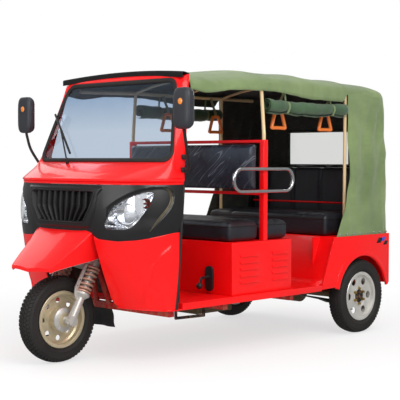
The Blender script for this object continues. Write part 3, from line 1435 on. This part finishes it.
def pipeRound(piece, node, share, name):  # piping along the cover's seam, laid on the blown surface
    low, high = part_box(node)
    bm = bmesh.new()
    bm.from_mesh(piece.data)
    skin = BVHTree.FromBMesh(bm)
    bm.free()
    start, size = (low + high) / 2, high - low
    upright = size.z > blow["tall"]
    first, second, across = (1, 2, 0) if upright else (0, 1, 2)
    start[across] = mix(low[across], high[across], share)
    count, path = blow["turns"][upright], []
    for i in range(count):
        angle = 2 * math.pi * i / count
        c, s = math.cos(angle), math.sin(angle)
        aim = Vector((0, 0, 0))
        aim[first], aim[second] = c * size[first] / 2, s * size[second] / 2
        hit = skin.ray_cast(start, aim.normalized())[0]
        if hit:
            path.append(hit)
    tube(name, [path], blow["pipe"], "trimBlack", nodes[node]["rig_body"], (), True, 2)


for node, plan in cushions.items():
    made = makeCushion(node, plan)
    if node != "partition_pad":
        pipeRound(made, node, 0.86 if "backrest" in node else 0.78, plan["name"] + "Piping")
print("cushions made")


# Rigid pieces that keep their solids' form, with eased edges
for node, finish, slot, bevel in (
    ("chassis_frame", "frameRed", "frame_red", 0.0015), ("floor_pan", "redPaint", "red_paint", 0.002),
    ("front_bulkhead", "blackPaint", "black_paint", 0.0015), ("step_rods", "blackPaint", "black_paint", 0.0),
    ("wiper", "trimBlack", "black_paint", 0.001), ("mirror_glasses", "mirrorSilver", "mirror", 0.001),
    ("dashboard", "trimBlack", "black_paint", 0.003), ("seat_box", "redPaint", "red_paint", 0.002),
    ("gear_lever", "trimBlack", "black_paint", 0.002), ("partition_frame", "redPaint", "frame_red", 0.003),
    ("grab_rails", "chrome", "chrome", 0.0), ("rear_wings", "redPaint", "red_paint", 0.002),
    ("rear_tub", "redPaint", "red_paint", 0.002), ("tail_lamps", "redLens", "red_lens", 0.004),
    ("canopy_frame", "creamPaint", "cream_paint", 0.0), ("engine", "engineMetal", "engine_metal", 0.006),
    ("rear_axle", "engineMetal", "dark_steel", 0.002), ("leaf_springs", "darkSteel", "dark_steel", 0.002),
    ("fork", "castAlloy", "cast_alloy", 0.0015), ("handlebar", "blackPaint", "black_paint", 0.001),
    ("front_rim", "rimGold", "rim_silver", 0.001), ("rear_left_rim", "rimSilver", "rim_silver", 0.001),
    ("rear_right_rim", "rimSilver", "rim_silver", 0.001),
):
    cadCopy(node, finish, bevel)
print("rigid pieces eased")


# Wheels: carcass with tread blocks, hub, nuts and drum
tyre = {"crown": 258.0, "fall": 0.0042, "groove": 4.2, "blocks": 64, "half": 49,
        "rows": ((-49, -30, 0.5, 0.72), (-27, -9, 0.0, 0.8), (-6, 6, 0.5, 0.9), (9, 27, 0.0, 0.8), (30, 49, 0.5, 0.72)),
        "side": ((157, 39.7), (167, 40.0), (175, 41.5), (181, 48.0), (186, 51.5), (190, 53.6), (193, 54.6), (194, 55.4),
                 (197, 55.4), (198, 54.9), (206, 55.8), (216, 55.6), (224, 54.6), (226, 55.2), (229, 54.8), (231, 53.4),
                 (238, 51.0), (243, 47.5))}


def crownAt(y):
    return tyre["crown"] - tyre["fall"] * y * y


def makeTyre(name, node, centre):
    half = list(tyre["side"]) + [(crownAt(y) - tyre["groove"], y) for y in (42, 30, 15, 0)]
    section = half + [(r, -y) for r, y in reversed(half[:-1])] + [half[0]]
    bm = spun([(r * mm, y * mm) for r, y in section], centre, (0, 1, 0), (0, 0, 1), 96)
    finishSpin(bm)
    step = 2 * math.pi / tyre["blocks"]
    for near, far, shift, share in tyre["rows"]:
        for k in range(tyre["blocks"]):
            cube = bmesh.ops.create_cube(bm, size=1.0)["verts"]
            for vert in cube:
                y = mix(near, far, vert.co.y + 0.5)
                reach = abs(y) / tyre["half"]
                lean = 0.32 * step * math.sin(reach * math.pi) + 0.1 * step * reach
                angle = step * (k + shift) + vert.co.x * share * step * (1 - 0.1 * (vert.co.z + 0.5)) + lean
                radius = crownAt(y) + (0.0 if vert.co.z > 0 else -tyre["groove"] - 2)
                vert.co = centre + Vector((math.sin(angle) * radius, y, math.cos(angle) * radius)) * mm
    return addPiece(name, bm, "tyreRubber", nodes[node]["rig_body"], (node,), 34)


hub = {"nuts": 6, "pitch": 53.0, "nutFace": 0.0275, "nut": (0.0085, 0.013), "valve": 0.0035,
       "front": [(0.0, 0.088), (0.014, 0.087), (0.02, 0.083), (0.022, 0.074), (0.04, 0.072), (0.062, 0.067),
                 (0.072, 0.06), (0.073, 0.049)],
       "rear": [(0.0, 0.047), (0.016, 0.046), (0.022, 0.042), (0.024, 0.034), (0.038, 0.033), (0.044, 0.03),
                (0.0455, 0.026)]}


def makeWheels():
    makeTyre("frontTyre", "front_tyre", frontWheel)
    for side, centre in rearWheels.items():
        makeTyre("rear%sTyre" % side.capitalize(), "rear_%s_tyre" % side, centre)
    for name, centre, body, sides in (
        ("front", frontWheel, "front_wheel", (1, -1)), ("rearLeft", rearWheels["left"], "rear_wheel_left", (1,)),
        ("rearRight", rearWheels["right"], "rear_wheel_right", (-1,)),
    ):
        front = name == "front"
        bm, nuts = bmesh.new(), []
        for side in sides:
            spun([(r, side * y) for r, y in hub["front" if front else "rear"]], centre, (0, 1, 0), (0, 0, 1), 40, bm)
            for k in range(0 if front else hub["nuts"]):
                angle = 2 * math.pi * (k + 0.5) / hub["nuts"]
                reach = Vector((math.cos(angle), 0, math.sin(angle))) * hub["pitch"] * mm
                nuts.append((centre + reach + Vector((0, side * hub["nutFace"], 0)), (0, side, 0)))
        finishSpin(bm)
        addPiece(name + "Hub", bm, "castAlloy" if front else "blackPaint", body, (), 35)
        if nuts:
            studs(name + "Nuts", nuts, *hub["nut"], "zincYellow", body, "dark_steel")
        stem = centre + Vector((0.12, sides[0] * 0.034, -0.085))
        tip = stem + Vector((-0.008, sides[0] * 0.022, 0.006))
        tube(name + "Valve", [[stem, tip]], hub["valve"], "rubber", body, (), False, 2)


makeWheels()
print("wheels made")


# Fork springs as coils, with collars
coil = {"low": 180, "high": 350, "turns": 6.5, "steps": 22, "radius": 38.5, "wire": 0.0076, "inset": 42,
        "sleeves": (
            (32, [(0.018, 0.148), (0.03, 0.15), (0.036, 0.158), (0.045, 0.166), (0.046, 0.174), (0.045, 0.179),
                  (0.018, 0.18)]),
            (32, [(0.0185, 0.352), (0.036, 0.352), (0.0355, 0.34), (0.027, 0.336), (0.0185, 0.32)]),
            (24, [(0.0185, 0.18), (0.025, 0.182), (0.025, 0.335), (0.0185, 0.34)]))}  # collar, boot and shroud


def makeForkSprings():
    joint = next(j for j in frame["joints"] if j["name"] == "steering_turn")
    axis = Vector(joint["axis"]).normalized()
    across = Vector((0, 1, 0))
    ahead = across.cross(axis)
    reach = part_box("fork_springs")[1].y / mm - coil["inset"]
    paths, bm = [], bmesh.new()
    for side in (1, -1):
        foot = frontWheel + across * side * reach * mm
        path = []
        for i in range(int(coil["turns"] * coil["steps"]) + 1):
            turn = i / coil["steps"]
            z = mix(coil["low"], coil["high"], ease(turn / coil["turns"], -0.15, 1.15))
            angle = 2 * math.pi * turn * side
            spoke = ahead * math.cos(angle) + across * math.sin(angle)
            path.append(foot + axis * z * mm + spoke * coil["radius"] * mm)
        paths.append(path)
        for steps, sleeve in coil["sleeves"]:
            spun(sleeve, foot, axis, ahead, steps, bm)
    tube("forkCoils", paths, coil["wire"], "springSteel", "steering", ("fork_springs",), False, 3)
    finishSpin(bm)
    addPiece("forkCollars", bm, "castAlloy", "steering", (), 35)


makeForkSprings()
print("fork springs made")


# Mirrors, mud flap, wing trim, press studs, seat rail and threshold
mirror = {"x": 320, "y": 730, "foot": 1378, "size": (54, 128, 236), "power": 4.6, "bracket": 1146, "stalk": 0.009,
          "eyeAt": (25.5, 156), "clamps": (0, 74), "clamp": (34, 24, 30),
          "eye": [(0.0, 0.006), (0.009, 0.0055), (0.015, 0.004), (0.0185, 0.001), (0.0195, -0.004)],
          "fromDoor": ((12, 3, 0), (12, 34, 2), (16, 58, 22)), "fromHead": ((-36, -8, -110), (-12, 0, -30), (0, 0, 20))}


def softBox(bm, centre, size, power, segments=40):  # a ball pressed towards a box
    verts = bmesh.ops.create_uvsphere(bm, u_segments=segments, v_segments=segments // 2, radius=1.0)["verts"]
    for vert in verts:
        grow = sum(abs(c) ** power for c in vert.co) ** (-1 / power)
        vert.co = centre + Vector(c * grow * s * mm / 2 for c, s in zip(vert.co, size))
    return verts


def makeMirrors():
    shells, eyes, stalks, clamps = bmesh.new(), bmesh.new(), [], bmesh.new()
    headX, headY, foot, bracket = mirror["x"], mirror["y"], mirror["foot"], mirror["bracket"]
    door, half = doorX(bracket), halfAt(bracket)
    for side in (1, -1):
        softBox(shells, at(-headX, side * headY, foot + mirror["size"][2] / 2), mirror["size"], mirror["power"])
        ahead, lift = mirror["eyeAt"]
        spun(mirror["eye"], at(-headX + ahead, side * headY, foot + lift), (1, 0, 0), (0, 0, 1), 28, eyes)
        bend = [at(-door + a, side * (half + b), bracket + c) for a, b, c in mirror["fromDoor"]]
        bend += [at(-headX + a, side * (headY + b), foot + c) for a, b, c in mirror["fromHead"]]
        stalks.append(smoothPath(bend, 8))
        for z in (bracket + lift for lift in mirror["clamps"]):
            softBox(clamps, at(-doorX(z) + 12, side * (halfAt(z) + 8), z), mirror["clamp"], 6.0, 16)
    addPiece("mirrorShells", shells, "mirrorShell", "chassis", ("mirrors",), 60)
    finishSpin(eyes)
    addPiece("mirrorEyes", eyes, "amberLens", "chassis", (), 50)
    tube("mirrorStalks", stalks, mirror["stalk"], "trimBlack", "chassis")
    addPiece("mirrorClamps", clamps, "trimBlack", "chassis", (), 50)


flap = {"wave": 0.007, "curl": 0.004, "wall": 0.004}


def makeMudFlap():
    low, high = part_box("front_mudflap")

    def place(u, v):
        wave = flap["wave"] * math.sin(u * 9.0 + 1.0) * (1 - v) + flap["curl"] * math.sin(v * 7.0)
        return Vector((mix(low.x, high.x, v * 0.8 + 0.1) + wave, mix(low.y, high.y, u), mix(low.z, high.z, v)))

    bm = gridSheet(30, 24, place)
    cabSheet("frontMudflap", bm, "rubber", flap["wall"], ("front_mudflap",), 80, 0.0, 0.0)


wing = {"arch": 285.0, "sweep": (14, 168), "lip": 0.003, "stripeY": 644.6, "stripe": 0.0006,
        "flange": ((0, 640), (0, 651), (4, 655), (13, 655), (24, 650), (34, 645), (40, 643)),
        "stripes": ((2356, 622, 34), (2412, 634, 26), (2440, 606, 26)),
        "stripeShape": ((0, 0), (1.5, 0), (2.2, 1), (0.8, 1.1)), "studZ": 700, "studSide": 645, "studTail": 2519}


def makeArchLips():
    lips = bmesh.new()
    rear = rearWheels["left"]
    last = len(wing["flange"]) - 1
    for side in (1, -1):

        def flange(u, v):
            angle = math.radians(mix(*wing["sweep"], u))
            grow, out = wing["flange"][round(v * last)]
            reach = (wing["arch"] + grow) * mm
            return Vector((rear.x + math.cos(angle) * reach, side * out * mm, rear.z + math.sin(angle) * reach))

        gridSheet(80, last, flange, (0.7, 0.05), lips)
    outward(lips)
    turnTo(lips, 1, max(lips.faces, key=lambda f: f.calc_center_median().y))
    cabSheet("archLips", lips, "redPaint", wing["lip"])


def makeStripes():
    marks = {"trimBlack": bmesh.new(), "stripeBlue": bmesh.new()}
    for index, (x, z, size) in enumerate(wing["stripes"]):
        bm = marks["stripeBlue" if index == 1 else "trimBlack"]
        for side in (1, -1):
            spots = [at(-x - size * dx, side * wing["stripeY"], z + size * dz) for dx, dz in wing["stripeShape"]]
            face = bm.faces.new([bm.verts.new(p) for p in spots])
            face.normal_update()
            if face.normal.y * side < 0:
                face.normal_flip()
    for finish, bm in marks.items():
        name = "wing" + finish[0].upper() + finish[1:] + "Marks"
        cabSheet(name, bm, finish, wing["stripe"], (), 50, 0.0, 1.0)


def makePressStuds():
    z, buttons = wing["studZ"], []
    for side in (1, -1):
        buttons += [(at(-x, side * wing["studSide"], z), (0, side, 0)) for x in range(1930, 2480, 78)]
    buttons += [(at(-wing["studTail"], y, z), (-1, 0, 0)) for y in range(-520, 521, 104)]
    studs("pressStuds", buttons, 0.0045, 0.004, "chrome", "chassis", "chrome", 12)


seatRail = {"ahead": 0.004, "inset": 0.03, "lift": 0.06, "radius": 0.008}


def makeSeatRail():  # a red tube across the foot of the rear backrest
    seatTop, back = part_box("rear_seat")[1].z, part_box("rear_backrest")[1]
    x, y, z = back.x + seatRail["ahead"], back.y - seatRail["inset"], seatTop + seatRail["lift"]
    ends = [Vector((x, side * y, z)) for side in (-1, 1)]
    tube("rearSeatRail", [ends], seatRail["radius"], "redPaint", "chassis", (), False, 3)


threshold = {"half": 632, "wall": 0.002,
             "profile": ((1690, 373.8), (1738, 373.8), (1746.5, 376), (1752, 383), (1760.6, 402))}


def makeThreshold():  # closes the joint between the floor and the slanted seat front
    last = len(threshold["profile"]) - 1

    def place(u, v):
        x, z = threshold["profile"][round(v * last)]
        return at(-x, mix(-threshold["half"], threshold["half"], u), z)

    bm = gridSheet(12, last, place)
    turnTo(bm, 2)
    cabSheet("rearThreshold", bm, "redPaint", threshold["wall"])


makeThreshold()
makeMirrors()
makeMudFlap()
makeArchLips()
makeStripes()
makePressStuds()
makeSeatRail()
print("mirrors and trim made")

print("size written")
